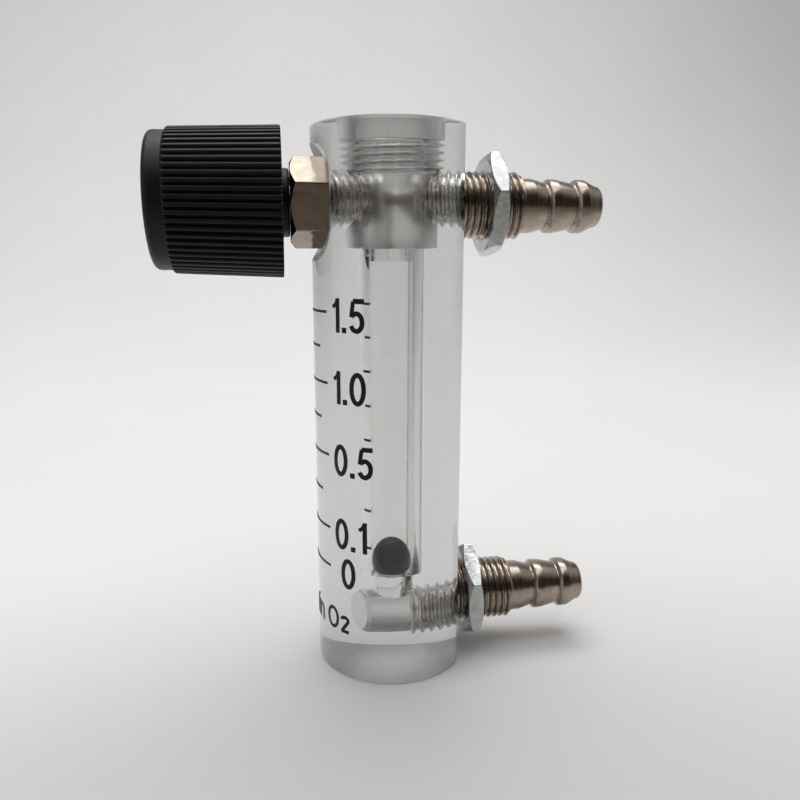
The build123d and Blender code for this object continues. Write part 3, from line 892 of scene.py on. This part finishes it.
def wrapped(name, placed):
    """Ink on the body: (strokes, across, up), with across measured round from the -X side towards -Y."""
    verts, faces = [], []
    inner = body_radius + INK_LIFT
    for strokes, across, up in placed:
        for path, width, closed in strokes:
            flat, quads = stroke(path, width, closed)
            base = len(verts)
            count = len(flat)
            for radius in (inner + INK_THICKNESS, inner):
                for u, v in flat:
                    a = math.pi + (across + u) / body_radius
                    verts.append((radius * math.cos(a), radius * math.sin(a), up + v))
            edges = {}
            for q in quads:
                faces.append(tuple(base + i for i in q))
                faces.append(tuple(base + count + i for i in reversed(q)))
                for a, b in zip(q, q[1:] + q[:1]):
                    edges[(a, b)] = edges.get((b, a)) is None and edges.get((a, b)) is None
                    if (b, a) in edges:
                        edges[(b, a)] = edges[(a, b)] = False
            for (a, b), rim in edges.items():
                if rim:
                    faces.append((base + b, base + a, base + count + a, base + count + b))
    obj = outward(mesh_object(name, verts, faces, [INK]))
    smooth(obj, 40)
    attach(obj, "meter")


def line_of(text, height, weight, gap):
    """Strokes of a word from its left end, and its width."""
    strokes, x = [], 0.0
    for mark in text:
        parts, width = glyph(mark, height, weight)
        strokes += [([(x + u, v) for u, v in path], w, closed) for path, w, closed in parts]
        x += width + gap
    return strokes, x - gap


def mark_levels():
    """Heights of the scale's lines, from the CAD ink."""
    levels = sorted({round(v.co.z / MM, 2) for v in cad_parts["scale_marks"].data.vertices})
    return [(a + b) / 2 for a, b in zip(levels[::2], levels[1::2])]


def build_figures():
    levels = mark_levels()
    labels = {0: "0", 1: "0.1", 3: "0.5", 5: "1.0", 7: "1.5"}
    placed = []
    for index, text in labels.items():
        strokes = line_of(text, FIGURE_HEIGHT, FIGURE_WEIGHT, 0.40)[0]
        start = 8.75 if text == "0" else 7.60
        placed.append((strokes, start, levels[index] - FIGURE_DROP))
    wrapped("scale_figures", placed)
    unit_z = inlet_z - UNIT_DROP
    word, width = line_of("L/min", 3.6, 0.50, 0.44)
    letter = glyph("O", 3.7, 0.54)[0]
    index = glyph("2", 2.9, 0.54)[0]
    unit = [(word, UNIT_END - width, unit_z), (letter, 5.3, unit_z), (index, 8.5, unit_z - 0.1)]
    wrapped("scale_unit", unit)


# ---------------------------------------------------------------- stage, light, camera


def build_stage():
    """A pale floor that curves up into a backdrop behind the object, with a painted shadow that darkens it
    towards the front.
    """
    mat, nodes, links, shader = new_material("stage_paper")
    shader.inputs["Roughness"].default_value = 0.9
    place = coordinates(nodes, links)
    cloud = ramp(nodes, links, noise(nodes, links, place, 0.01, 2.0), [(0.2, 0.86), (0.8, 0.89)])
    split = nodes.new("ShaderNodeSeparateXYZ")
    links.new(place, split.inputs["Vector"])
    # Painted shadow: the floor's colour darkens to a dark brown-grey towards the front, standing in for a
    # shadow cast on the floor in front of the object.
    painted_front_shadow = nodes.new("ShaderNodeMapRange")
    painted_front_shadow.interpolation_type = "SMOOTHSTEP"
    painted_front_shadow.inputs["From Min"].default_value = 40.0
    painted_front_shadow.inputs["From Max"].default_value = -170.0
    links.new(split.outputs["Y"], painted_front_shadow.inputs["Value"])
    shade = nodes.new("ShaderNodeMix")
    shade.data_type = "RGBA"
    factor, colour_a, painted_shadow_colour = shade.inputs[0], shade.inputs[6], shade.inputs[7]
    links.new(painted_front_shadow.outputs["Result"], factor)
    links.new(cloud, colour_a)
    painted_shadow_colour.default_value = (0.30, 0.28, 0.26, 1)
    links.new(shade.outputs[2], shader.inputs["Base Color"])
    half, front, far, top, bend = 6000.0, -1200.0, 700.0, 1500.0, 450.0
    drop = 0.05
    profile = [(front, 0.0), (0.0, 0.0), (far - bend, 0.0)]
    curve = np.linspace(0.1, math.pi / 2, 14)
    profile += [(far - bend + bend * math.sin(a), bend - bend * math.cos(a)) for a in curve]
    profile += [(far, top)]
    verts = [(x, y, z - drop) for y, z in profile for x in (-half, half)]
    faces = [(2 * i, 2 * i + 1, 2 * i + 3, 2 * i + 2) for i in range(len(profile) - 1)]
    floor = mesh_object("stage_floor", verts, faces, [mat])
    for face in floor.data.polygons:
        face.use_smooth = True


def area_light(name, location, target, size, power):
    light = bpy.data.lights.new(name, "AREA")
    light.shape = "RECTANGLE"
    light.size, light.size_y = size
    light.energy = power
    obj = bpy.data.objects.new(name, light)
    obj.location = location
    obj.rotation_euler = (Vector(target) - Vector(location)).to_track_quat("-Z", "Y").to_euler()
    bpy.context.scene.collection.objects.link(obj)


def build_world():
    """Pale surroundings with a dark patch in front of the object, like an unlit side of the room."""
    world = bpy.data.worlds.new("studio")
    world.use_nodes = True
    nodes, links = world.node_tree.nodes, world.node_tree.links
    coord = nodes.new("ShaderNodeTexCoord")
    toward = nodes.new("ShaderNodeVectorMath")
    toward.operation = "DOT_PRODUCT"
    toward.inputs[1].default_value = Vector((0.30, -0.92, 0.18)).normalized()
    links.new(coord.outputs["Generated"], toward.inputs[0])
    stops = [(0.50, (0.50, 0.49, 0.48)), (0.80, (0.035, 0.027, 0.020))]
    shade = ramp(nodes, links, toward.outputs["Value"], stops)
    links.new(shade, nodes["Background"].inputs["Color"])
    bpy.context.scene.world = world


def build_lights():
    centre = (0, 0, 0.045)
    area_light("key_above", (-0.02, 0.02, 0.60), centre, (0.70, 0.60), 1.95)
    area_light("backdrop_wash", (0.0, 0.30, 0.85), (0, 0.50, 0.0), (0.9, 0.4), 2.2)


def build_camera():
    azimuth, pitch, roll = math.radians(9.6), math.radians(11.3), 0.002
    back, aside, up = 0.1125, 0.00138, 0.0647
    ahead = Vector((math.sin(azimuth), math.cos(azimuth), 0))
    view = ahead * math.cos(pitch) - Vector((0, 0, math.sin(pitch)))
    across = Vector((math.cos(azimuth), -math.sin(azimuth), 0))
    above = across.cross(view)
    right = across * math.cos(roll) + above * math.sin(roll)
    top = above * math.cos(roll) - across * math.sin(roll)
    data = bpy.data.cameras.new("camera")
    data.sensor_width = 36.0
    data.lens = 32.58
    data.clip_start = 0.005
    camera = bpy.data.objects.new("camera", data)
    place = across * aside - ahead * back + Vector((0, 0, up))
    camera.matrix_world = Matrix.Translation(place) @ Matrix((right, top, -view)).transposed().to_4x4()
    bpy.context.scene.collection.objects.link(camera)
    bpy.context.scene.camera = camera


# ---------------------------------------------------------------- the object

build_body()
build_plug()
build_fitting("barbed_outlet", "outlet_fitting", outlet_z)
build_fitting("barbed_inlet", "inlet_fitting", inlet_z)
build_nut("outlet_nut_plated", "outlet_lock_nut", "outlet_nut", NUT_TURNS["outlet"])
build_nut("inlet_nut_plated", "inlet_lock_nut", "inlet_nut", NUT_TURNS["inlet"])
build_valve_body()
build_stem()
build_knob()
build_cap()
for node in ("valve_body_seal", "outlet_seal_ring", "inlet_seal_ring"):
    build_seal(node)
build_ring("spindle_ring", "stem_o_ring", "stem_ring", 0.5)
build_ball()
build_figures()

for node, mat in {
    "float_stop": BORED,
    "scale_marks": INK,
    "knob_insert": BRASS,
    "knob_screw": STEEL,
    "knob_washer": STEEL,
}.items():
    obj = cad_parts[node]
    obj.data.materials.clear()
    obj.data.materials.append(mat)

build_stage()
build_world()
build_lights()
build_camera()

scene = bpy.context.scene
scene.view_settings.view_transform = "Standard"
scene.cycles.max_bounces = 40
scene.cycles.transmission_bounces = 36
scene.cycles.glossy_bounces = 12
scene.cycles.transparent_max_bounces = 16
